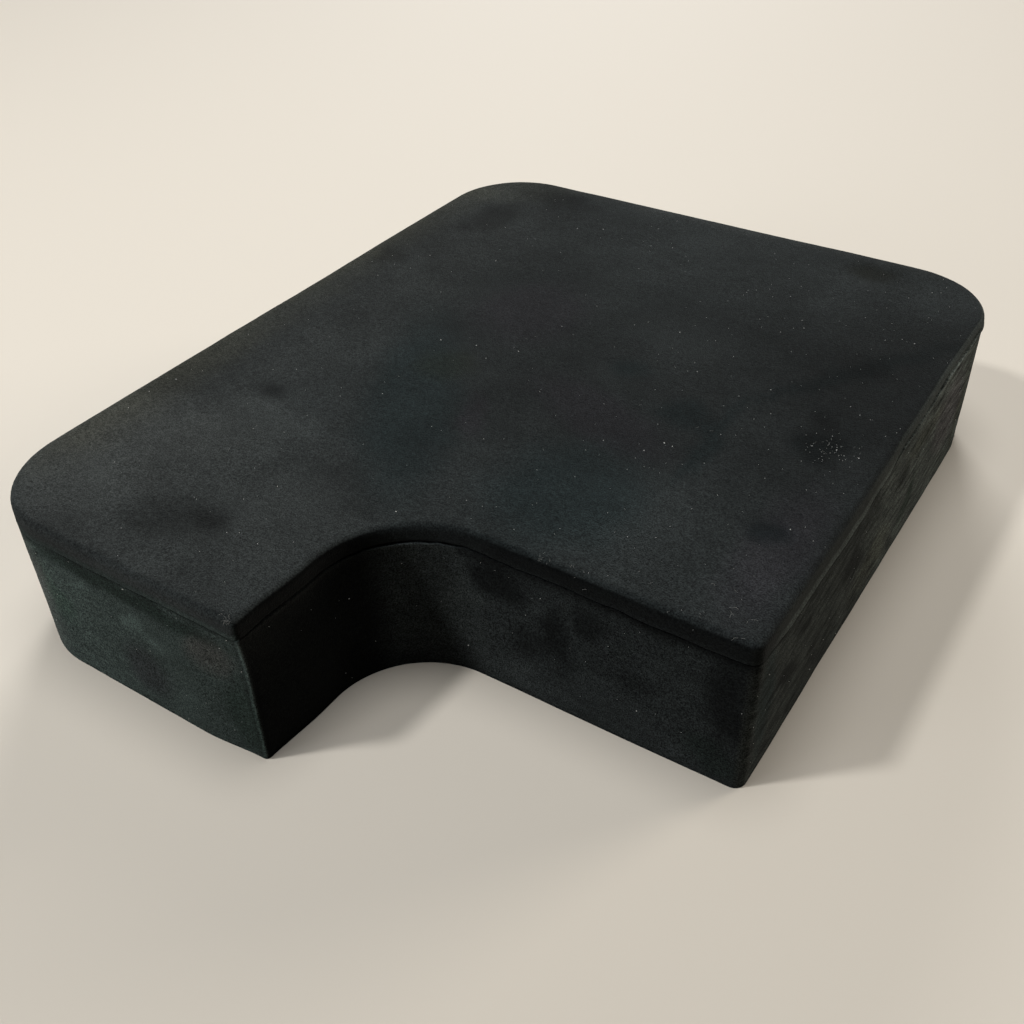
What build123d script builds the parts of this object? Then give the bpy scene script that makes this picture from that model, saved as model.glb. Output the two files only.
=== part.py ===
from build123d import *
import os

# A firm foam block with an open notch in one corner, covered in black faux suede for the bench.
# The foam is one cut piece. Three pieces of cloth are glued to it: a top panel that wraps over the
# top edge and turns a little way down, a band round the sides below it, and a flat bottom panel.
# The band's two ends meet at the nose, the sharp corner between the front and the notch.
#
# Millimetres. +X is right, +Y is back and +Z is up. The origin is the middle of the base of the
# block's overall box, and the notch takes the front right corner.

# Overall size, outside the cloth
block_width = 208.0
block_depth = 262.0
block_height = 50.0

# Notch, measured in from the right side and from the front of the nose
notch_width = 107.0
notch_depth = 57.0

# Corners seen from above, outside the cloth
outer_corner_radius = 29.0  # front left, back left and back right
notch_corner_radius = 29.0  # the hollow corner inside the notch
step_corner_radius = 3.5  # front right, beside the notch's mouth

# Cloth
cover_thickness = 1.0
top_edge_radius = 3.0  # outside the cloth, where the top panel turns over the edge
turn_down = 4.5  # from the top face to the top panel's cut edge
band_gap = 0.2  # between the band's two ends at the nose

seam_height = block_height - turn_down


def plan(inset):
    """The block's outline from above, moved in by inset from the outside of the cloth."""
    left, right = inset - block_width / 2, block_width / 2 - inset
    front, back = inset - block_depth / 2, block_depth / 2 - inset
    nose = block_width / 2 - notch_width - inset
    step = notch_depth - block_depth / 2 + inset
    corners = [
        (left, front, outer_corner_radius - inset),
        (nose, front, 0),
        (nose, step, notch_corner_radius + inset),
        (right, step, step_corner_radius - inset),
        (right, back, outer_corner_radius - inset),
        (left, back, outer_corner_radius - inset),
    ]
    outline = make_face(Polyline(*[(x, y) for x, y, radius in corners], close=True))
    for x, y, radius in corners:
        if radius > 0:
            corner = outline.vertices().sort_by_distance((x, y))[0]
            outline = fillet(corner, radius)
    return outline


def slab(inset, low, high):
    """A flat-topped solid of the block's outline, from one height to another."""
    return Pos(0, 0, low) * extrude(plan(inset), high - low)


def round_top(solid, radius):
    """Rounds all the edges of a solid's top face."""
    return fillet(solid.edges().group_by(Axis.Z)[-1], radius)


def foam_core():
    """The foam, one cloth's thickness inside the covers on every side."""
    blank = slab(cover_thickness, cover_thickness, block_height - cover_thickness)
    return round_top(blank, top_edge_radius - cover_thickness)


def top_panel():
    """The cloth over the top, down to its cut edge on the sides."""
    return round_top(slab(0, seam_height, block_height), top_edge_radius) - foam_core()


def side_band():
    """The strip of cloth round the sides, with a gap where its ends meet at the nose."""
    ring = slab(0, cover_thickness, seam_height) - foam_core()
    nose_x = block_width / 2 - notch_width
    nose_y = -block_depth / 2
    slit = Box(band_gap, 4 * cover_thickness, 2 * block_height)
    bisector = Rot(0, 0, 45)  # the nose is a right angle, so the gap halves it
    return ring - Pos(nose_x, nose_y) * bisector * slit


def bottom_panel():
    """The flat cloth that the block stands on."""
    return slab(0, 0, cover_thickness)


os.makedirs("parts", exist_ok=True)
for make_piece in (foam_core, top_panel, side_band, bottom_panel):
    export_step(make_piece(), f"parts/{make_piece.__name__}.step")
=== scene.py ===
# %% [markdown]
# # A foam block in black faux suede
# The real thing is a slab of firm foam with a notch cut from one corner. It is covered for the bench
# in brushed microfibre cloth: a top panel wraps over the edge and turns a few millimetres down, one
# band runs round the sides below it with its two ends meeting at the nose, and a flat panel closes
# the base. All of them are glued, so the cloth follows the foam and hardly wrinkles.
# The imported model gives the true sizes, so this lesson starts by loading it and reading them off. The
# noise that later makes the block look hand-made has a fixed seed, so that each run gives one block.

# %% Load the block
import math
import random

import bmesh
import bpy
from mathutils import Euler, Matrix, Vector, noise


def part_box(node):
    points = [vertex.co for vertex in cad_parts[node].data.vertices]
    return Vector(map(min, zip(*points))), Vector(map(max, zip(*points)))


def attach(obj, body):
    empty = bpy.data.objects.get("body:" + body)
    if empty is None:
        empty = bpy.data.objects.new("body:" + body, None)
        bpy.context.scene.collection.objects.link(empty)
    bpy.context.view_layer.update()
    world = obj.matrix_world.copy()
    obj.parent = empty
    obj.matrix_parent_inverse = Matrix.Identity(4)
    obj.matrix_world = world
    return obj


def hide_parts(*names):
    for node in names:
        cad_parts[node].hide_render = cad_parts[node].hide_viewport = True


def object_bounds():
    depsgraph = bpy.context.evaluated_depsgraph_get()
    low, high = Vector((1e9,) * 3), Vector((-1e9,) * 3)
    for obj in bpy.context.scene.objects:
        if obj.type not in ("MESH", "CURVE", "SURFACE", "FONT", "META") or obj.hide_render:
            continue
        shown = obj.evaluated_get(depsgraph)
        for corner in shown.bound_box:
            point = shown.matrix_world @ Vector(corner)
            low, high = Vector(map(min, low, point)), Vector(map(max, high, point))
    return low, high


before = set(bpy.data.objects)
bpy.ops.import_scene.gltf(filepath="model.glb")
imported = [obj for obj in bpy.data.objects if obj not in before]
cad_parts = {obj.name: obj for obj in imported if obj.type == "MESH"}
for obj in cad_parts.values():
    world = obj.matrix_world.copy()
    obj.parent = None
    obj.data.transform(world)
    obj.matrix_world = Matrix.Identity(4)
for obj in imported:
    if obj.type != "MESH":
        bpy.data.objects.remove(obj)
cad_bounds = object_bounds()
MM = 0.001
NOISE_SEED = 41
noise.seed_set(NOISE_SEED)
low, high = (Vector(corner) for corner in cad_bounds)
print("block, mm", [round(side / MM, 1) for side in high - low])

# %% [markdown]
# The outline seen from above is an L with six corners. Rather than typing its sizes again, the base
# panel's own corner points are read: the furthest point along each straight side tells where the
# notch begins and how round each corner is. That panel is one cloth thick, and the cloth is drawn so
# tight over the block's top edge that it turns there with a round of under 2 mm.

# %% Read the outline
rim = [vertex.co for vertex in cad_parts["bottom_panel"].data.vertices]
TOUCH = 0.01 * MM
left, front, right, back = low.x, low.y, high.x, high.y
nose_x = max(p.x for p in rim if p.y < front + TOUCH)
step_y = min(p.y for p in rim if p.x > (nose_x + right) / 2)
outer_round = min(p.y for p in rim if p.x < left + TOUCH) - front
notch_round = min(p.x for p in rim if abs(p.y - step_y) < TOUCH) - nose_x
step_round = right - max(p.x for p in rim if abs(p.y - step_y) < TOUCH)
top_z = high.z
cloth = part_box("bottom_panel")[1].z
EDGE_ROUND = 1.8 * MM
print("nose x, step y, mm", round(nose_x / MM, 1), round(step_y / MM, 1))
print("corner rounds, mm", [round(r / MM, 1) for r in (outer_round, notch_round, step_round)])

# %% [markdown]
# Every panel follows the same outline, so one helper lays it flat as a face: six points, each corner
# rounded with a vertex bevel, then long edges divided so that the cloth can bend. The nose, where the
# band's ends meet, is the one sharp corner. Real cloth can't turn it on a point, so it gets a small
# round with close divisions, which the seam there needs later.

# %% Lay the outline
SPACING = 1.5 * MM
NOSE_ROUND = 1.6 * MM
NOSE_STEPS = 8
STEP_ARC = 7


def lay_outline(bm, inset, z):
    """The block's outline as one face at height z, moved in by inset."""
    arc = round(outer_round * math.pi / 2 / SPACING)
    corners = [
        (left + inset, front + inset, outer_round - inset, arc),
        (nose_x - inset, front + inset, NOSE_ROUND - inset / 2, NOSE_STEPS),
        (nose_x - inset, step_y + inset, notch_round + inset, arc),
        (right - inset, step_y + inset, step_round - inset, STEP_ARC),
        (right - inset, back - inset, outer_round - inset, arc),
        (left + inset, back - inset, outer_round - inset, arc),
    ]
    points = [bm.verts.new((x, y, z)) for x, y, radius, steps in corners]
    bm.faces.new(points)
    for point, (x, y, radius, steps) in zip(points, corners):
        bmesh.ops.bevel(bm, geom=[point], offset=radius, offset_type="OFFSET", segments=steps,
                        profile=0.5, affect="VERTICES", material=-1)
    for edge in list(bm.edges):
        cuts = int(edge.calc_length() / SPACING)
        if cuts:
            bmesh.ops.subdivide_edges(bm, edges=[edge], cuts=cuts)
    return bm.faces[:][0]


# %% [markdown]
# A panel's edge hangs from the outline in rows. Each row is the outline extruded once more, and at
# first its z only counts how far down the cloth it lies, from 0 to 1. The next cells turn that count
# into a real place on the block, which is why the rows can stay straight here. A second helper walks
# once round the outline from the nose and stores each point's distance, which brush strokes follow.

# %% Hang rows of cloth
def hang_rows(bm, shares):
    """Extrudes the outline once per share. A point's z is then minus its share of the way down."""
    ring = list(bm.edges)
    reached = 0.0
    for share in shares:
        grown = bmesh.ops.extrude_edge_only(bm, edges=ring)["geom"]
        fresh = {g for g in grown if isinstance(g, bmesh.types.BMVert)}
        bmesh.ops.translate(bm, verts=list(fresh), vec=(0, 0, reached - share))
        ring = [g for g in grown if isinstance(g, bmesh.types.BMEdge) and fresh.issuperset(g.verts)]
        reached = share
    bmesh.ops.recalc_face_normals(bm, faces=bm.faces)
    bm.normal_update()


def measure_round(bm, face):
    """Stores how far round the outline each point lies, starting at the point nearest the nose."""
    layer = bm.verts.layers.float.new("around")
    loops = list(face.loops)
    start = min(range(len(loops)), key=lambda i: (loops[i].vert.co.xy - Vector((nose_x, front))).length)
    walked = 0.0
    for loop in loops[start:] + loops[:start]:
        loop.vert[layer] = walked
        walked += loop.edge.calc_length()
    print("way round, mm", round(walked / MM, 1))
    return walked


def ease(value):
    """0 below 0, 1 above 1, and an S-curve between."""
    value = min(1.0, max(0.0, value))
    return value * value * (3 - 2 * value)


# %% [markdown]
# The panel's cut edge was trimmed by hand, so the line between panel and band wanders: it lies about
# 6 mm down on the front, 7 mm on part of the right side, and behind that it climbs to 2 mm, where the
# rounded edge begins. The line is set at a few stations round the block, and between them it blends.
# Each station also says how far each of the two edges stands proud and how pale the panel's lip is.
# A proud edge gets a painted highlight, paler by how far it lifts.

# %% Where the panel meets the band
# x, y, depth below the top, lift of the panel's edge and of the band's edge, in mm; tone of the lip
SEAM_STATIONS = (
    (-104, -60, 5.4, 0.10, 0.10, 0.80),
    (-60, -131, 6.0, 0.05, 0.00, 0.55),
    (-12, -131, 5.8, 0.10, 0.00, 0.65),
    (-3, -118, 5.0, 0.00, 0.30, 0.55),
    (8, -80, 4.8, 0.00, 0.35, 0.45),
    (45, -74, 5.4, 0.05, 0.10, 0.23),
    (95, -74, 6.0, 0.05, 0.00, 0.25),
    (104, -50, 6.4, 0.50, 0.00, 0.75),
    (104, -12, 7.4, 0.50, 0.00, 0.75),
    (104, 10, 7.0, 0.30, 0.00, 0.80),
    (104, 30, 3.0, 0.05, 0.45, 0.70),
    (104, 75, 1.9, 0.00, 0.50, 0.70),
    (85, 129, 2.4, 0.00, 0.40, 0.80),
    (0, 131, 4.6, 0.15, 0.15, 0.90),
    (-104, 60, 4.8, 0.15, 0.15, 0.90),
)
QUARTER = EDGE_ROUND * math.pi / 2
STATION_BLEND = 3
SLOW_WANDER = 11 * MM
QUICK_WANDER = 3 * MM


def seam_at(x, y):
    """How far along the cloth the cut lies, the lift of both edges, and the lip's tone, at x, y."""
    total, sums = 0.0, [0.0] * 4
    for station_x, station_y, *values in SEAM_STATIONS:
        gap = math.hypot(x / MM - station_x, y / MM - station_y)
        weight = 1 / (gap + STATION_BLEND) ** 3
        total += weight
        sums = [s + weight * v for s, v in zip(sums, values)]
    depth, panel_lift, band_lift, tone = (s / total for s in sums)
    wander = noise.noise(Vector((x, y, 0)) / SLOW_WANDER) * 0.5
    wander += noise.noise(Vector((x, y, 1)) / QUICK_WANDER) * 0.25
    depth = (depth + wander) * MM
    if depth < EDGE_ROUND:
        along = EDGE_ROUND * math.acos(1 - depth / EDGE_ROUND)
    else:
        along = QUARTER + depth - EDGE_ROUND
    return along, panel_lift * MM, band_lift * MM, tone


# %% [markdown]
# Two more helpers put a point of cloth in its place. The first rolls the cloth over the block's
# rounded edge and down its side. The second gives the whole block its hand-made irregularity: the foam
# was knife-cut, so its faces wave by a few tenths of a millimetre, the nose leans about a millimetre to
# the left and was pulled in where the ends of the band were drawn together, and the left front corner
# is pressed a little softer. It moves space itself, so panels that touch still touch afterwards.

# %% Put cloth on the block
NOSE_REACH = 8 * MM


def roll_down(point, out, along):
    """The place of cloth at a distance along from the top's flat, on the side that faces out."""
    if along < QUARTER:
        turn = along / EDGE_ROUND
        inset = EDGE_ROUND * (1 - math.sin(turn))
        z = top_z - EDGE_ROUND * (1 - math.cos(turn))
    else:
        inset = 0.0
        z = top_z - EDGE_ROUND - (along - QUARTER)
    place = Vector((point.x - out.x * inset, point.y - out.y * inset, z))
    if point.x > nose_x - NOSE_REACH and point.y < front + NOSE_REACH:
        place.x = min(place.x, nose_x - inset)
        place.y = max(place.y, front + inset)
    return place


# x, y, size and depth, in mm
DENTS = (
    (-38, -105, 8, 0.35), (-66, -50, 6, 0.3), (88, -34, 7, 0.3), (90, 11, 9, 0.4), (82, 21, 5, 0.25),
    (62, 117, 9, 0.3), (-80, 93, 10, 0.3), (-45, 40, 16, 0.25), (20, 50, 22, 0.3), (40, -20, 18, 0.25),
)
SLOW_WAVE = 42 * MM
QUICK_WAVE = 13 * MM


def settle(place):
    """The place after the foam's unevenness, the pulled-in nose and the soft corner."""
    height = place.z / top_z
    wave = noise.noise_vector(place / SLOW_WAVE) * 0.32 * MM
    wave += noise.noise_vector(place / QUICK_WAVE) * 0.10 * MM
    wave.z *= 0.75 * height
    from_nose = math.hypot(place.x - nose_x, place.y - front)
    pull = ease(1 - from_nose / (22 * MM)) * ease((1.02 - height) / 0.42) * 1.4 * MM
    drop = ease(1 - from_nose / (13 * MM)) ** 2 * ease((height - 0.7) / 0.3) * 0.3 * MM
    from_soft = math.hypot(place.x - left - outer_round / 2, place.y - front - outer_round / 2)
    press = ease(1 - from_soft / (34 * MM)) * height ** 3 * 0.7 * MM
    for x, y, size, deep in DENTS:
        away = math.hypot(place.x / MM - x, place.y / MM - y)
        wave.z -= ease(1 - away / (1.7 * size)) * deep * MM * ease((height - 0.98) / 0.02)
    shift = ease(1 - from_nose / (24 * MM)) * 1.1 * MM
    return place + wave + Vector((press * 0.4 - shift, pull + press * 0.5, -drop - press * 0.6))


print("edge roll, mm", round(QUARTER / MM, 2))

# %% [markdown]
# Suede is dark or pale by the way its nap lies, and a hand or a brush leaves it in cloudy patches.
# Those patches are stored on the cloth itself, as a colour on each point that the material multiplies
# with. The broad patches are partly nap and partly painted light: the pale ones on the left and back of
# the top, the dark one on its right, and the pale left end of the prong's front. A list names each patch
# by its middle, its size and its turn in millimetres and degrees, how much paler or darker it is, and its
# hue, and noise bends its edge so that none of them looks drawn. A second helper paints light and shade
# onto each side as a whole: painted light on the prong's front, the unseen left side and the back of the
# right side, and painted shade on the wall of the hollow. In the hollow there is also painted light above
# a slant, along the edge of the window's shadow.

# %% Nap patches and painted light
PLAIN = Vector((1.0, 1.0, 1.0))
COOL = Vector((0.84, 1.03, 1.06))
PLUM = Vector((1.08, 0.94, 1.03))
OLIVE = Vector((1.05, 1.02, 0.86))
GREEN = Vector((0.92, 1.05, 0.96))
EARTH = Vector((1.05, 1.01, 0.92))
WARM = Vector((1.03, 0.99, 0.97))
TAN = Vector((1.22, 0.96, 0.97))

# middle (across and along), half sizes, turn, tone, hue; on a side, along is the height
EDGE_BEND = 9 * MM
EDGE_FRAY = 3 * MM
# The broad paler patches on the left and at the back and the darker one on the right are partly nap and
# partly painted light.
TOP_PATCHES = (
    (-108, 0, 55, 160, 0, 1.45, WARM), (-50, -104, 62, 44, 0, 1.85, WARM),
    (95, 50, 42, 48, 20, 0.62, PLAIN), (58, -52, 52, 30, 0, 1.32, PLAIN),
    (-102, 20, 12, 120, 0, 1.20, EARTH), (-98, -70, 12, 46, 0, 1.10, EARTH),
    (-27, -30, 52, 15, -59, 0.88, COOL), (36, -46, 22, 25, 0, 0.88, COOL), (-26, 34, 20, 22, 0, 1.00, PLUM),
    (24, -9, 28, 11, -20, 1.00, PLUM), (-6, -29, 11, 4, -60, 1.10, PLUM), (-29, -9, 9, 10, 0, 0.80, OLIVE),
    (-38, -105, 7, 6, 0, 0.50, PLAIN), (-46, -109, 16, 9, 20, 0.72, PLAIN),
    (-66, -50, 5, 4, 0, 0.50, PLAIN), (88, -34, 6, 5, 0, 0.48, COOL), (85, 8, 8, 8, 0, 0.34, COOL),
    (82, 21, 4, 6, 30, 0.50, PLAIN), (81, 52, 42, 4, 56, 0.62, COOL), (58, -3, 4, 22, 0, 0.76, COOL),
    (46, 4, 8, 8, 0, 0.74, COOL), (63, 118, 9, 6, 0, 0.55, OLIVE), (-64, 118, 12, 8, 0, 0.62, PLAIN),
    (-79, 93, 9, 13, 0, 0.56, PLAIN), (-94, 43, 8, 8, 0, 0.52, PLAIN), (-84, 78, 4, 4, 0, 0.68, PLAIN),
    (-4, 28, 8, 6, 0, 0.80, PLAIN), (21, 18, 7, 6, 0, 0.80, COOL), (0, 130, 100, 5, 0, 1.45, WARM),
    (-86, 119, 26, 13, 30, 1.30, EARTH), (-104, 40, 5, 90, 0, 1.25, EARTH), (81, 56, 8, 8, 0, 0.75, PLAIN),
    (93, -40, 10, 30, 0, 1.08, PLUM), (92, 108, 14, 20, 0, 1.25, PLAIN),
    (-45, -60, 40, 4, -12, 1.20, PLAIN), (-50, -30, 34, 34, 0, 1.24, PLAIN),
    (-10, 105, 100, 34, 0, 1.24, PLAIN), (-18, -72, 26, 5, -32, 0.84, PLAIN),
)
FRONT_PATCHES = (
    (62, 4, 44, 7, 0, 1.25, PLAIN), (22, 22, 6, 20, 8, 1.35, PLAIN), (31, 36, 9, 7, 0, 0.32, PLAIN),
    (50, 26, 5, 10, 15, 0.36, PLAIN), (60, 35, 5, 6, 0, 0.45, PLAIN), (42, 20, 8, 6, 0, 0.55, PLAIN),
    (44, 33, 5, 3, 0, 1.30, PLAIN), (73, 22, 5, 5, 0, 0.66, PLAIN), (98, 28, 7, 16, 0, 0.36, PLAIN),
    (95, 8, 8, 6, 0, 0.70, GREEN), (80, 32, 12, 10, 0, 1.10, PLAIN), (64, 14, 9, 6, 0, 1.20, PLAIN),
    (35, 9, 10, 6, 0, 1.15, PLAIN),
)
# The broad pale patches, most at the prong's left end, are painted light; the thin streaks are nap.
PRONG_PATCHES = (
    (-50, 20, 50, 40, 0, 1.15, PLAIN), (-97, 22, 18, 34, 0, 1.40, TAN), (-45, 40, 36, 4, -2, 0.42, GREEN),
    (-44, 30, 5, 2, 20, 1.70, PLAIN), (-36, 28, 4, 2, -15, 1.60, PLAIN), (-62, 34, 5, 2, 30, 1.35, PLAIN),
    (-79, 40, 4, 1.5, 30, 1.50, PLAIN), (-17, 33, 9, 6, 30, 1.30, TAN), (-43, 14, 9, 10, 0, 0.74, PLUM),
    (-8, 14, 7, 14, 0, 0.70, GREEN), (-15, 20, 18, 20, 0, 0.78, PLAIN), (-75, 25, 5, 10, 20, 0.85, GREEN),
)
RIGHT_PATCHES = (
    (-42, 31, 5, 3, -30, 0.28, PLAIN), (-52, 22, 8, 4, -30, 0.32, PLAIN), (-5, 25, 10, 6, -25, 0.36, PLAIN),
    (6, 34, 14, 3, -20, 0.60, PLAIN), (35, 31, 9, 4, -40, 0.55, PLAIN), (82, 27, 16, 14, -30, 1.15, PLUM),
    (15, 12, 16, 8, 0, 1.10, EARTH), (-66, 25, 5, 20, 0, 0.75, COOL), (55, 34, 20, 4, 0, 0.75, EARTH),
    (-26, 12, 12, 6, -40, 0.75, PLAIN), (46, 14, 5, 10, -35, 0.70, GREEN),
    (66, 20, 4, 14, -30, 0.75, PLAIN), (98, 20, 4, 20, 0, 0.80, EARTH), (-60, 42, 30, 2, 0, 1.25, PLAIN),
    (72, 44, 30, 3, 0, 1.25, PLAIN),
)


def brush(across, along, place, patches):
    """The colour that the patches give the nap at a place, which lies at across, along on its face."""
    across += noise.noise(place / EDGE_BEND) * 3.0 + noise.noise(place / EDGE_FRAY) * 0.8
    along += noise.noise(place / EDGE_BEND + Vector((7, 7, 7))) * 3.0
    colour = PLAIN.copy()
    for middle, height, wide, tall, turn, tone, hue in patches:
        away = Matrix.Rotation(math.radians(-turn), 2) @ Vector((across - middle, along - height))
        reach = math.hypot(away.x / wide, away.y / tall)
        patch = Vector(a * b * tone for a, b in zip(colour, hue))
        colour = colour.lerp(patch, 1 - ease((reach - 0.45) / 0.9))
    return colour


def side_painted_light(place, out):
    """Painted light and shade on each side as a whole: painted light on the prong, painted shade in the
    hollow.
    """
    x, y, z = place / MM
    # Painted light on the prong's front, paler towards its left end.
    prong = ease((-y - 100) / 12) * ease((0.75 - out.x) / 0.1) * ease((-out.y - 0.1) / 0.3 - out.x)
    # Painted shade on the wall in the hollow.
    hollow = ease((out.x - 0.72) / 0.2) * ease((60 - x) / 10)
    # Painted light in the hollow above a slant that follows the edge of the window's shadow.
    slant = 91 - math.degrees(math.atan2(-out.y, out.x))
    painted_light_above_slant = ease((z - slant) / 8 + 0.5) * ease((62 - x) / 30) * (-out.y > 0.4)
    # Painted light on the right side, growing towards the back.
    painted_light_right = ease((out.x - 0.1) / 0.5) * ease((x - 90) / 5)
    # Painted light on the unseen left side, to match the prong's left end.
    unseen_left_painted_light = ease((-out.x - 0.5) / 0.3)
    colour = PLAIN * 1.12
    for amount, tone, hue in ((unseen_left_painted_light, 2.2, PLAIN), (prong, 2.6 + 0.9 * ease((-x - 40) / 50), GREEN),
                              (hollow * (y < -70), 0.28, EARTH), (painted_light_above_slant * (-100 < y < -60), 1.45, PLAIN),
                              (painted_light_right, 1.45 + 2.1 * ease((y + 20) / 80), EARTH)):
        colour = colour.lerp(hue * tone, amount)
    return colour


def store_nap(bm, painter):
    """Stores painter's colour on each point, where the material finds it as 'nap'."""
    layer = bm.verts.layers.float_color.new("nap")
    for vertex in bm.verts:
        vertex[layer] = (*painter(vertex), 1.0)


print("nap patches", len(TOP_PATCHES) + len(FRONT_PATCHES) + len(PRONG_PATCHES) + len(RIGHT_PATCHES))

# %% [markdown]
# Two small helpers for every material: one turns an sRGB hex colour to the linear colour that a shader
# works in, and one adds a node with its settings and its links in a single line.

# %% Material helpers
def linear(code):
    """An sRGB hex colour as the linear colour that a shader takes."""
    channels = [int(code[i:i + 2], 16) / 255 for i in (1, 3, 5)]
    return tuple(c / 12.92 if c <= 0.04045 else ((c + 0.055) / 1.055) ** 2.4 for c in channels) + (1.0,)


def add_node(tree, kind, links=None, **settings):
    """Adds one node. settings are its properties or its inputs' values, and links its inputs' sources."""
    node = tree.nodes.new(kind)
    for name, value in settings.items():
        if hasattr(node, name):
            setattr(node, name, value)
        else:
            node.inputs[name.replace("_", " ")].default_value = value
    for name, source in (links or {}).items():
        tree.links.new(source, node.inputs[name])
    return node


def start_material(name):
    """A new material with an empty node tree."""
    material = bpy.data.materials.new(name)
    material.use_nodes = True
    material.node_tree.nodes.clear()
    return material, material.node_tree


# %% [markdown]
# Faux suede is a microfibre felt, sanded until it has a nap of fibres about half a millimetre long.
# It gives the eye three things: a near-black body, a soft haze at low angles where light catches the
# fibre tips, and a fine grain where tufts lean different ways. The haze is the shader's sheen. In the
# colour there are clouds of 34 mm, tufts of 1.1 mm and grains of 0.4 mm, which are in the bump too, and
# streaks of about 2 mm follow the brush. The real fibres are finer than a picture can show, so the
# grain stands for tufts. Each point stores its place on the laid-out cloth as "comb", and as that
# attribute's third number how strongly the brush shows there: most on the right side.

# %% Suede
BODY = "#1b1e1e"
CLOUDS = 34 * MM
TUFTS = 1.1 * MM
GRAINS = 0.38 * MM
STREAKS = 2.2 * MM


def make_suede(name, sheen, fleck, stroke, combing):
    """Brushed microfibre suede: its haze, its fleck, the brush's turn and how much its strokes show."""
    material, tree = start_material(name)
    place = add_node(tree, "ShaderNodeTexCoord").outputs["Object"]
    # The 'nap' colour holds nap marks and painted light and shade alike.
    nap = add_node(tree, "ShaderNodeAttribute", attribute_name="nap").outputs["Color"]
    comb = add_node(tree, "ShaderNodeAttribute", attribute_name="comb").outputs["Vector"]
    strength = add_node(tree, "ShaderNodeSeparateXYZ", {"Vector": comb}).outputs["Z"]
    combed = add_node(tree, "ShaderNodeMapping", {"Vector": comb}, Rotation=(0, 0, stroke),
                      Scale=(0.2, 1.0, 0.0)).outputs["Vector"]
    clouds, tufts, grain, streaks = (
        add_node(tree, "ShaderNodeTexNoise", {"Vector": source}, Scale=1 / size, Detail=detail,
                 Roughness=roughness).outputs["Fac"]
        for source, size, detail, roughness in ((place, CLOUDS, 5.0, 0.62), (place, TUFTS, 2.0, 0.6),
                                                (place, GRAINS, 1.0, 0.6), (combed, STREAKS, 3.0, 0.65)))
    shade = None
    for source, swing in ((clouds, 0.3), (tufts, 0.27), (grain, fleck), (streaks, combing)):
        level = add_node(tree, "ShaderNodeMapRange", {"Value": source}, From_Min=0.28, From_Max=0.72,
                         To_Min=-swing, To_Max=swing).outputs["Result"]
        if source == streaks:
            level = add_node(tree, "ShaderNodeMath", {0: level, 1: strength},
                             operation="MULTIPLY").outputs["Value"]
        level = add_node(tree, "ShaderNodeMath", {0: level}, operation="ADD")
        level.inputs[1].default_value = 1.0
        level = level.outputs["Value"]
        if shade:
            level = add_node(tree, "ShaderNodeMath", {0: shade, 1: level},
                             operation="MULTIPLY").outputs["Value"]
        shade = level
    brushed = add_node(tree, "ShaderNodeVectorMath", {0: nap, "Scale": shade}, operation="SCALE")
    colour = add_node(tree, "ShaderNodeVectorMath", {0: brushed.outputs["Vector"]}, operation="MULTIPLY")
    colour.inputs[1].default_value = linear(BODY)[:3]
    bump = add_node(tree, "ShaderNodeBump", {"Height": grain}, Strength=0.8, Distance=0.25 * MM)
    shader = add_node(tree, "ShaderNodeBsdfPrincipled",
                      {"Base Color": colour.outputs["Vector"], "Normal": bump.outputs["Normal"]},
                      Roughness=0.92, Specular_IOR_Level=0.0, Sheen_Weight=sheen, Sheen_Roughness=0.5,
                      Sheen_Tint=linear("#f4f7f7"))
    add_node(tree, "ShaderNodeOutputMaterial", {"Surface": shader.outputs["BSDF"]})
    print(name, BODY)
    return material


suede_top = make_suede("brushed microfibre suede, top panel", 0.04, 0.6, 0.7, 0.5)
suede_side = make_suede("brushed microfibre suede, side band", 0.03, 0.9, 0.9, 0.85)

# %% [markdown]
# Making a bmesh into an object is the same for every piece. The cloth pieces then get their 1 mm
# thickness from Solidify, inwards from the face that was shaped, and a Bevel that only acts on the
# sharp cut rims, because a cut felt edge is soft.

# %% Finish a piece
def finish_mesh(bm, name, *materials):
    """Makes a smooth-shaded object of bm, with its place in the mesh."""
    mesh = bpy.data.meshes.new(name)
    bm.to_mesh(mesh)
    bm.free()
    mesh.shade_smooth()
    piece = bpy.data.objects.new(name, mesh)
    bpy.context.scene.collection.objects.link(piece)
    for material in materials:
        piece.data.materials.append(material)
    print(name, len(mesh.polygons), "faces")
    return piece


def thicken(piece, thickness):
    """Gives an open cloth surface its thickness, inwards, and softens its cut rim."""
    wall = piece.modifiers.new("cloth thickness", "SOLIDIFY")
    wall.thickness = thickness
    wall.offset = -1
    wall.use_even_offset = False
    soft = piece.modifiers.new("soft cut rim", "BEVEL")
    soft.width = 0.25 * MM
    soft.segments = 2
    soft.limit_method = "ANGLE"
    soft.angle_limit = math.radians(55)


# %% [markdown]
# The top panel is the outline's face with a skirt of rows. The skirt rolls over the edge, its last
# rows lift as the trimmed edge does, and the flat is cut into a grid so that it can wave and dent.
# A subdivided plane cut to shape would do for the flat, but it would leave a ragged joint with the skirt.
# The nap is pale round to the lip, which takes the painted light and shade of the side below. On the prong
# it starts lower. A lifted cut edge gets a painted highlight, and the front lip painted shade at its end.

# %% Top panel
SKIRT_ROWS = (0.1, 0.2, 0.3, 0.4, 0.5, 0.6, 0.7, 0.78, 0.86, 0.93, 1.0)
GRID = 3 * MM
LIFT_RUN = 1.2 * MM
FUZZ_SIZE = 1.3 * MM

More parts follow.
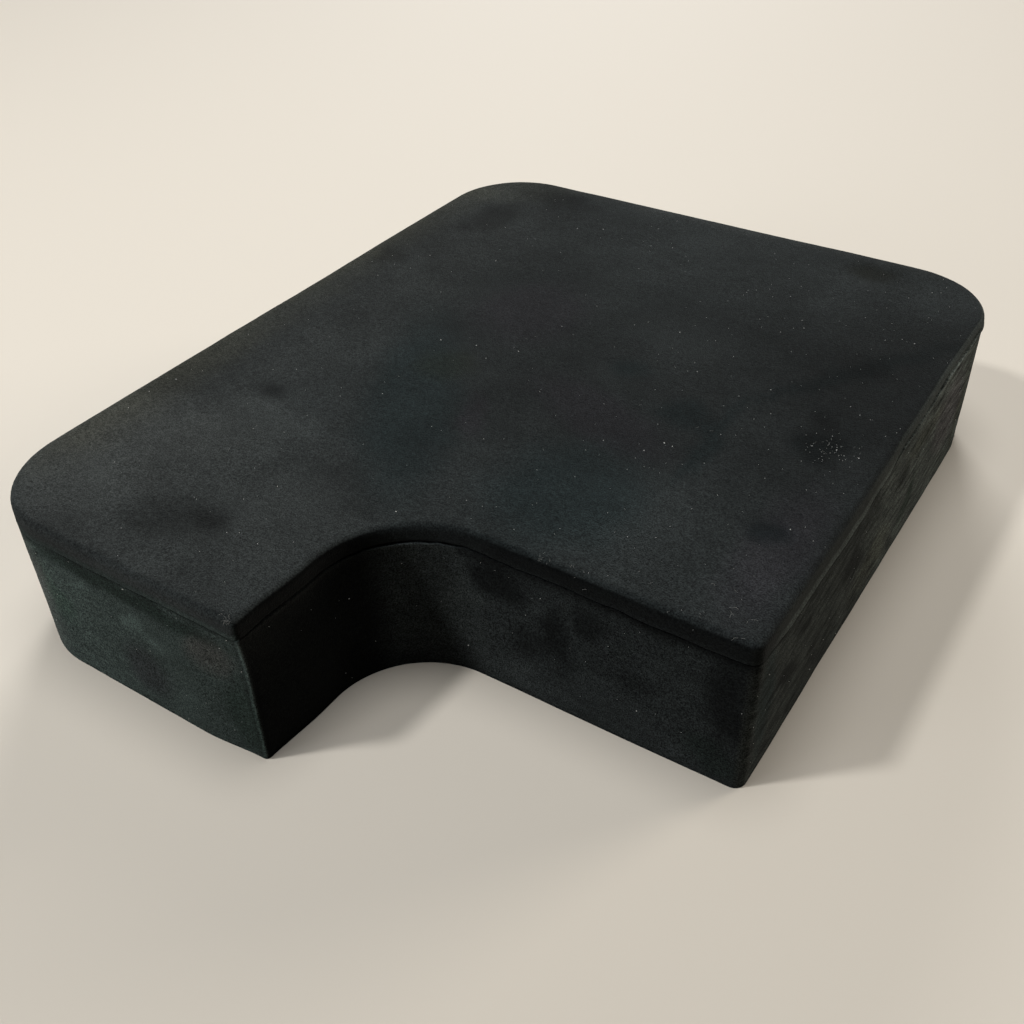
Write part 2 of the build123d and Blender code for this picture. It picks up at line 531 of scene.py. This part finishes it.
bm = bmesh.new()
measure_round(bm, lay_outline(bm, 0, 0))
hang_rows(bm, SKIRT_ROWS)
lip_layer = bm.verts.layers.float.new("lip")
tone_layer = bm.verts.layers.float.new("lip tone")
lift_layer = bm.verts.layers.float.new("lift")
out_layer = bm.verts.layers.float_vector.new("out")
for vertex in bm.verts:
    share = -vertex.co.z
    out = Vector((vertex.normal.x, vertex.normal.y, 0)).normalized()
    cut, panel_lift, band_lift, tone = seam_at(vertex.co.x, vertex.co.y)
    lift = panel_lift * ease((share * cut - cut + LIFT_RUN) / LIFT_RUN)
    fuzz = noise.noise(vertex.co / FUZZ_SIZE) * 0.07 * MM * (share > 0)
    vertex[lip_layer] = share
    vertex[tone_layer] = tone
    vertex[lift_layer] = panel_lift / MM
    vertex[out_layer] = out
    vertex.co = roll_down(vertex.co, out, share * cut) + out * (lift + fuzz)
bmesh.ops.remove_doubles(bm, verts=bm.verts, dist=TOUCH)
cap = [max(bm.faces, key=lambda face: len(face.verts))]
for axis in (0, 1):
    normal = Vector((1 - axis, axis, 0))
    place = low[axis] + GRID
    while place < high[axis]:
        patch = dict.fromkeys(item for face in cap for item in (face, *face.edges, *face.verts))
        cut = bmesh.ops.bisect_plane(bm, geom=list(patch), dist=TOUCH / 10, plane_co=normal * place,
                                     plane_no=normal)
        cap = [item for item in cut["geom"] if isinstance(item, bmesh.types.BMFace)]
        place += GRID


def paint_top(vertex):
    """The top panel's colour; the lip that turns down takes the sides' painted light and shade."""
    place = vertex.co
    colour = brush(place.x / MM, place.y / MM, place, TOP_PATCHES)
    share, out, tone = vertex[lip_layer], vertex[out_layer], vertex[tone_layer]
    on_prong = place.y < front + 6 * MM and out.x < 0.6
    lip = ease((share - 0.62) / 0.3) if on_prong else ease((share - 0.17) / 0.13)
    # Paler on the rounded edge towards the back and left.
    paler_back_left_edge = 1 + 0.5 * ease((out.y - out.x - 0.5) / 0.5) * ease(share / 0.2)
    # Painted highlight on the panel's cut edge where it lifts.
    painted_edge_light_and_shade = 1 + 4.6 * vertex[lift_layer] * ease((share - 0.76) / 0.14)
    # Painted shade at the lower end of the front lip.
    if out.y < -0.5 and not on_prong:
        painted_edge_light_and_shade += (0.36 / tone - 1) * ease((share - 0.75) / 0.25)
    return (colour * paler_back_left_edge).lerp(side_painted_light(place, out) * tone * painted_edge_light_and_shade, lip)


store_nap(bm, paint_top)
comb_layer = bm.verts.layers.float_vector.new("comb")
for vertex in bm.verts:
    vertex[comb_layer] = (vertex.co.x, vertex.co.y, 0.15)
for vertex in bm.verts:
    vertex.co = settle(vertex.co)
print("top panel flat cut into", len(cap), "faces")
top_cloth = finish_mesh(bm, "top_cloth", suede_top)
thicken(top_cloth, cloth)
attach(top_cloth, "root")
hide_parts("top_panel")

# %% [markdown]
# The band is the same outline with the face taken away and rows down to the base. Its upper rows
# start just under the panel's cut edge, which leaves the dark hairline between them. At the nose its
# two ends butt together: the column of edges there is split, one end lies a little over the other,
# and both rise into a narrow ridge with a groove on each side. Where an edge lifts, the gap is wider.

# %% Side band
BAND_ROWS = [0.006, 0.014, 0.026, 0.045] + [0.045 + 0.925 * k / 28 for k in range(1, 29)] + [0.985, 1.0]
HAIRLINE = 0.1 * MM
LIFTED_GAP = 2.4

bm = bmesh.new()
cap = lay_outline(bm, 0, 0)
way_round = measure_round(bm, cap)
hang_rows(bm, BAND_ROWS)
bmesh.ops.delete(bm, geom=[cap], context="FACES_ONLY")
bm.normal_update()
whole = QUARTER + top_z - EDGE_ROUND - cloth
share_layer = bm.verts.layers.float.new("share")
ridge_layer = bm.verts.layers.float.new("ridge")
out_layer = bm.verts.layers.float_vector.new("out")
comb_layer = bm.verts.layers.float_vector.new("comb")
lift_layer = bm.verts.layers.float.new("lift")
nose_middle = Vector((nose_x - NOSE_ROUND, front + NOSE_ROUND))
diagonal = Vector((1, -1)).normalized()


def from_diagonal(point):
    """How far round the nose a point of the outline lies from the line where the ends meet."""
    arm = point.xy - nose_middle
    if arm.length > 12 * MM or arm.length < TOUCH:
        return 1.0
    return arm.angle(diagonal) * NOSE_ROUND + max(0.0, arm.length - NOSE_ROUND)


joint = [edge for edge in bm.edges if all(from_diagonal(v.co) < 0.02 * MM for v in edge.verts)]
bmesh.ops.split_edges(bm, edges=joint)
bm.normal_update()
around_layer = bm.verts.layers.float["around"]
for vertex in bm.verts:
    furthest = max(edge.other_vert(vertex)[around_layer] for edge in vertex.link_edges)
    if vertex[around_layer] == 0 and furthest > way_round / 2:
        vertex[around_layer] = way_round
print("edges in the nose joint", len(joint))
for vertex in bm.verts:
    share = -vertex.co.z
    away = from_diagonal(vertex.co) / MM
    side = vertex.normal.x + vertex.normal.y < -0.01
    out = Vector((vertex.normal.x, vertex.normal.y, 0)).normalized()
    if away < 0.02:
        out = diagonal.to_3d()
    cut, panel_lift, band_lift, _ = seam_at(vertex.co.x, vertex.co.y)
    start = cut + HAIRLINE + LIFTED_GAP * max(panel_lift, band_lift)
    along = start + share * (whole - start)
    lift = band_lift * ease(1 - (along - start) / (1.8 * MM))
    ridge = 0.36 * math.exp(-(away / 0.5) ** 2) - 0.14 * math.exp(-((away - 1.3) / 0.4) ** 2)
    if away < 0.02 and side:
        ridge += 0.15
    tuck = 0.12 * MM * ease((share - 0.97) / 0.03)
    fuzz = noise.noise(vertex.co / FUZZ_SIZE) * 0.06 * MM
    vertex[share_layer] = along - start
    vertex[ridge_layer] = away
    vertex[out_layer] = out
    vertex[comb_layer] = (vertex[around_layer], along,
                          0.2 + 0.8 * ease((out.x - 0.4) / 0.6) * (vertex.co.x > 90 * MM))
    vertex[lift_layer] = (band_lift - panel_lift) / MM
    vertex.co = roll_down(vertex.co, out, along) + out * (lift + ridge * MM * (1 - 0.5 * share) + fuzz - tuck)


def paint_band(vertex):
    """The band's colour: patches and painted light for each side, painted highlights and shade at the cut
    edge and the nose ridge.
    """
    place = vertex.co
    x, y, z = place / MM
    out = vertex[out_layer]
    colour = PLAIN.copy()
    if y < -100 and out.y < -0.1 and out.x < 0.75:
        colour = brush(x, z, place, PRONG_PATCHES)
    elif x > nose_x / MM:
        if out.y < -0.1 and y > -100:
            colour = brush(x, z, place, FRONT_PATCHES)
        if out.x > 0.05 and x > 90:
            colour = colour.lerp(brush(y, z, place, RIGHT_PATCHES), ease((out.x - 0.1) / 0.6))
    colour = Vector(a * b for a, b in zip(colour, side_painted_light(place, out)))
    below = vertex[share_layer] / MM
    # Painted highlight on the band's cut edge where it lifts, painted shade under the panel's edge where it
    # doesn't.
    edge = 1 + max(-0.85, 2.6 * vertex[lift_layer] - 0.4) * math.exp(-(below / 1.1) ** 2)
    # On the front, painted shade in a strip just under the seam.
    edge *= 1 - 0.6 * math.exp(-(below / 2.6) ** 2) * (out.y < -0.5 and x > 20)
    away = vertex[ridge_layer]
    # Painted highlight on the nose ridge and painted shade in the grooves beside it.
    seam = 1 + 0.9 * math.exp(-(away / 0.5) ** 2) - 0.5 * math.exp(-((away - 1.4) / 0.45) ** 2)
    return colour * edge * seam


store_nap(bm, paint_band)
for vertex in bm.verts:
    vertex.co = settle(vertex.co)
side_cloth = finish_mesh(bm, "side_cloth", suede_side)
thicken(side_cloth, cloth)
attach(side_cloth, "root")
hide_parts("side_band")

# %% [markdown]
# The base panel is a plain cut-out, so it is the outline's face given its thickness at once: extruded
# up by the cloth's 1 mm, with both rims bevelled to a soft edge. It ends just inside the band.

# %% Base panel
bm = bmesh.new()
sheet = lay_outline(bm, 0.08 * MM, 0)
grown = bmesh.ops.extrude_face_region(bm, geom=[sheet])["geom"]
bmesh.ops.translate(bm, verts=[g for g in grown if isinstance(g, bmesh.types.BMVert)], vec=(0, 0, cloth))
rims = [edge for edge in bm.edges if edge.verts[0].co.z == edge.verts[1].co.z]
bmesh.ops.bevel(bm, geom=rims, offset=0.15 * MM, offset_type="OFFSET", segments=2, profile=0.5,
                affect="EDGES", material=-1)
bmesh.ops.recalc_face_normals(bm, faces=bm.faces)
bm.normal_update()
# The base takes the same painted light and shade as the sides.
store_nap(bm, lambda vertex: side_painted_light(vertex.co, Vector((vertex.normal.x, vertex.normal.y, 0)).normalized()))
for vertex in bm.verts:
    vertex.co = settle(vertex.co)
base_cloth = finish_mesh(bm, "base_cloth", suede_side)
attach(base_cloth, "root")
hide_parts("bottom_panel")

# %% [markdown]
# Under the cloth is the foam itself, a firm closed-cell sheet. It shows only as a dark line between
# the panels, but it is what the block is made of, so it is a full solid with rounded upper edges and
# a cellular surface: small pits at a real cell size of about 0.8 mm.

# %% Foam
FOAM_CELL = 0.8 * MM
foam_skin, tree = start_material("closed-cell foam, knife cut")
place = add_node(tree, "ShaderNodeTexCoord").outputs["Object"]
cells = add_node(tree, "ShaderNodeTexVoronoi", {"Vector": place}, Scale=1 / FOAM_CELL)
bump = add_node(tree, "ShaderNodeBump", {"Height": cells.outputs["Distance"]}, Strength=0.6,
                Distance=0.2 * MM)
# The colour is darker in the pits' middles, a painted shade, and paler on the cell walls.
tone = add_node(tree, "ShaderNodeMapRange", {"Value": cells.outputs["Distance"]}, To_Min=0.7, To_Max=1.2)
colour = add_node(tree, "ShaderNodeVectorMath", {"Scale": tone.outputs["Result"]}, operation="SCALE")
colour.inputs[0].default_value = linear("#161616")[:3]
shader = add_node(tree, "ShaderNodeBsdfPrincipled",
                  {"Base Color": colour.outputs["Vector"], "Normal": bump.outputs["Normal"]}, Roughness=0.85)
add_node(tree, "ShaderNodeOutputMaterial", {"Surface": shader.outputs["BSDF"]})

bm = bmesh.new()
under = lay_outline(bm, cloth * 1.3, cloth)
grown = bmesh.ops.extrude_face_region(bm, geom=[under])["geom"]
bmesh.ops.translate(bm, verts=[g for g in grown if isinstance(g, bmesh.types.BMVert)],
                    vec=(0, 0, top_z - cloth * 2.3))
shoulder = [edge for edge in bm.edges if min(v.co.z for v in edge.verts) > top_z / 2]
bmesh.ops.bevel(bm, geom=shoulder, offset=1.1 * MM, offset_type="OFFSET", segments=3, profile=0.5,
                affect="EDGES", material=-1)
bmesh.ops.recalc_face_normals(bm, faces=bm.faces)
for vertex in bm.verts:
    vertex.co = settle(vertex.co)
foam_block = finish_mesh(bm, "foam_block", foam_skin)
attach(foam_block, "root")
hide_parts("foam_core")

# %% [markdown]
# Black suede shows every speck. The block carries some five hundred grains of pale dust, thickest on
# the right half of the top with a cluster in one finger mark. Each grain is a tiny icosphere of 20
# faces set on the cloth. They are joined in one mesh: placing them by hand would look arranged, so a
# seeded random draw picks faces of the cloth, and a weight says where dust is likely. An extrusion may
# make its faces in another order in each run, so they are put in the order of their points first.

# %% Dust
DUST_SEED = 41
draw = random.Random(DUST_SEED)
specks = bmesh.new()


def pick_faces(piece, count, weight):
    """Faces of a piece drawn at random, by their area times a weight."""
    faces = sorted(piece.data.polygons, key=lambda face: sorted(face.vertices))
    return draw.choices(faces, weights=[face.area * weight(face) for face in faces], k=count)


def dusty_top(face):
    """How likely dust is on a face of the top: most in the finger mark, more towards the right."""
    x, y = face.center.x / MM, face.center.y / MM
    cluster = 110 * math.exp(-((x - 89) ** 2 + (y - 9) ** 2) / 38)
    cluster += 6 * math.exp(-((x - 44) ** 2 + (y + 12) ** 2) / 160)
    return (1.0 + cluster + 1.2 * ease((x + 20) / 90)) * (face.normal.z > 0.5)


def dusty_side(face):
    """How likely dust is on a face of the band: more on the sides that face front and right."""
    return 0.35 + 0.9 * (face.normal.y < -0.5) + 0.6 * (face.normal.x > 0.7)


for piece, count, weight in ((top_cloth, 400, dusty_top), (side_cloth, 130, dusty_side)):
    for face in pick_faces(piece, count, weight):
        size = draw.uniform(0.05, 0.10) * MM * (1.9 if draw.random() < 0.07 else 1.0)
        shift = Vector([draw.uniform(-1.2, 1.2) * MM for axis in range(3)])
        shift -= face.normal * shift.dot(face.normal)
        place = Matrix.Translation(face.center + shift + face.normal * size * 0.6)
        spin = Matrix.Rotation(draw.uniform(0, 6), 4, (draw.random(), draw.random(), 1))
        stretch = Matrix.Diagonal((draw.uniform(0.8, 1.8), 1, draw.uniform(0.6, 1), 1))
        bmesh.ops.create_icosphere(specks, subdivisions=1, radius=size, matrix=place @ spin @ stretch)

pale_dust, tree = start_material("pale dust")
shader = add_node(tree, "ShaderNodeBsdfPrincipled", Base_Color=linear("#b9bab6"), Roughness=0.8)
add_node(tree, "ShaderNodeOutputMaterial", {"Surface": shader.outputs["BSDF"]})
dust = finish_mesh(specks, "dust_specks", pale_dust)
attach(dust, "root")

# %% [markdown]
# Lint is longer than dust: pale fibres a few millimetres long that curl on the cloth, a tuft caught in
# the nose seam, and fluff along the front edge where the panel was trimmed. A fibre is a NURBS curve
# with a thin round bevel, which stays smooth with only a few points. A real fibre is 0.02 mm thick.
# These are 0.05 mm, because a thinner one would vanish in a picture. Only the tuft is as pale as dust.

# %% Lint
FIBRE_POINTS = 5
lint_data = bpy.data.curves.new("lint", "CURVE")
lint_data.dimensions = "3D"
lint_data.bevel_depth = 0.024 * MM
lint_data.bevel_resolution = 1
lint_data.resolution_u = 5


def add_fibre(middle, length, spread, rise):
    """One curled fibre near middle, rising at most by rise."""
    spline = lint_data.splines.new("NURBS")
    spline.points.add(FIBRE_POINTS - 1)
    heading = draw.uniform(0, 2 * math.pi)
    place = middle + Vector((draw.uniform(-1, 1) * spread, draw.uniform(-1, 1) * spread, 0))
    for point in spline.points:
        point.co = (*settle(place), 1)
        heading += draw.uniform(-0.9, 0.9)
        place += Vector((math.cos(heading), math.sin(heading), 0)) * length / FIBRE_POINTS
        place.z = middle.z + draw.uniform(0.1, 1.0) * rise
    spline.order_u = 4
    spline.use_endpoint_u = True


# x, y, height, fibres, length, spread and rise; lengths in mm
LINT = (
    (-5.2, -130.0, 49.4, 36, 1.0, 0.9, 0.5), (-7, -128.5, 49.8, 8, 1.4, 1.8, 0.3),
    (46, -73.2, 50.0, 9, 0.9, 2.0, 0.3), (54, -73.0, 50.0, 5, 0.8, 2.5, 0.3),
    (84, -73.0, 50.0, 3, 0.8, 5.0, 0.2), (93, -66, 50.1, 9, 1.9, 8.0, 0.2),
    (70, -60, 50.1, 6, 1.3, 18.0, 0.2), (89, 9, 50.0, 7, 0.8, 6.0, 0.2), (40, -15, 50.1, 6, 1.0, 22.0, 0.2),
    (-40, -90, 50.1, 6, 1.0, 30.0, 0.2), (20, 60, 50.1, 8, 1.2, 60.0, 0.2),
    (-96, -110, 49.7, 4, 1.0, 3.0, 0.3),
)
for row, (x, y, z, count, length, spread, rise) in enumerate(LINT):
    for fibre in range(count):
        add_fibre(Vector((x, y, z)) * MM, length * MM * draw.uniform(0.6, 1.3), spread * MM, rise * MM)
        lint_data.splines[-1].material_index = int(row == 0)
grey_lint, tree = start_material("grey lint")
shader = add_node(tree, "ShaderNodeBsdfPrincipled", Base_Color=linear("#6f706c"), Roughness=0.8)
add_node(tree, "ShaderNodeOutputMaterial", {"Surface": shader.outputs["BSDF"]})
lint_data.materials.append(grey_lint)
lint_data.materials.append(pale_dust)
lint = bpy.data.objects.new("lint", lint_data)
bpy.context.scene.collection.objects.link(lint)
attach(lint, "root")
print("fibres", len(lint_data.splines))

# %% [markdown]
# The floor is one plain pale sheet, large enough for any view.

# %% Floor
material, tree = start_material("pale foam sheet")
shader = add_node(tree, "ShaderNodeBsdfPrincipled", Base_Color=linear("#c9c2b6"), Roughness=0.9)
add_node(tree, "ShaderNodeOutputMaterial", {"Surface": shader.outputs["BSDF"]})
bm = bmesh.new()
bmesh.ops.create_grid(bm, x_segments=1, y_segments=1, size=8.0)
floor = finish_mesh(bm, "floor", material)

# %% [markdown]
# The light is that of a room with one window: a small soft source high in front on the left gives the
# shadow in the notch its slant, and large pale sources stand for the bright wall behind, the room on
# the left and the ceiling. Suede's haze depends on the light behind it, so the wall matters most.

# %% Lights
def add_area(name, azimuth, elevation, distance, size, power, colour):
    """A round lamp that faces the block, from a direction in degrees."""
    light = bpy.data.lights.new(name, "AREA")
    light.shape = "DISK"
    light.size = size
    light.energy = power
    light.color = linear(colour)[:3]
    lamp = bpy.data.objects.new(name, light)
    bpy.context.scene.collection.objects.link(lamp)
    turn, rise = math.radians(azimuth), math.radians(elevation)
    aim = Vector((math.cos(turn) * math.cos(rise), math.sin(turn) * math.cos(rise), math.sin(rise)))
    lamp.matrix_world = (Matrix.Translation(aim * distance + Vector((0, 0, 0.03)))
                         @ aim.to_track_quat("Z", "Y").to_matrix().to_4x4())
    lamp.visible_camera = False
    return lamp


add_area("window", 229.7, 51.5, 1.6, 0.16, 12.0, "#ffffff")
add_area("ceiling", 0, 90, 1.5, 0.9, 11.0, "#ffffff")
add_area("bright wall, left half", 120, 13, 5.2, 2.3, 336.0, "#ffffff")
add_area("bright wall, right half", 60, 13, 5.2, 2.3, 200.0, "#fff6ea")
add_area("room, front left", 240, 12, 1.5, 0.7, 6.0, "#f4f8ff")
world = bpy.data.worlds.new("room")
bpy.context.scene.world = world
world.use_nodes = True
world.node_tree.nodes["Background"].inputs["Color"].default_value = linear("#fff7ec")
world.node_tree.nodes["Background"].inputs["Strength"].default_value = 0.02

# %% [markdown]
# The camera looks down at the block over its right front corner, from a little under 0.4 m away.

# %% Camera
camera_data = bpy.data.cameras.new("camera")
camera_data.lens = 40.4
camera_data.sensor_width = 36
camera = bpy.data.objects.new("camera", camera_data)
bpy.context.scene.collection.objects.link(camera)
tilt, roll, heading = (math.radians(angle) for angle in (52.008, 1.335, 33.164))
stand = Vector((161.2, -256.0, 234.2)) * MM
camera.matrix_world = Matrix.Translation(stand) @ Euler((tilt, roll, heading)).to_matrix().to_4x4()
bpy.context.scene.camera = camera
bpy.context.scene.view_settings.view_transform = "Standard"
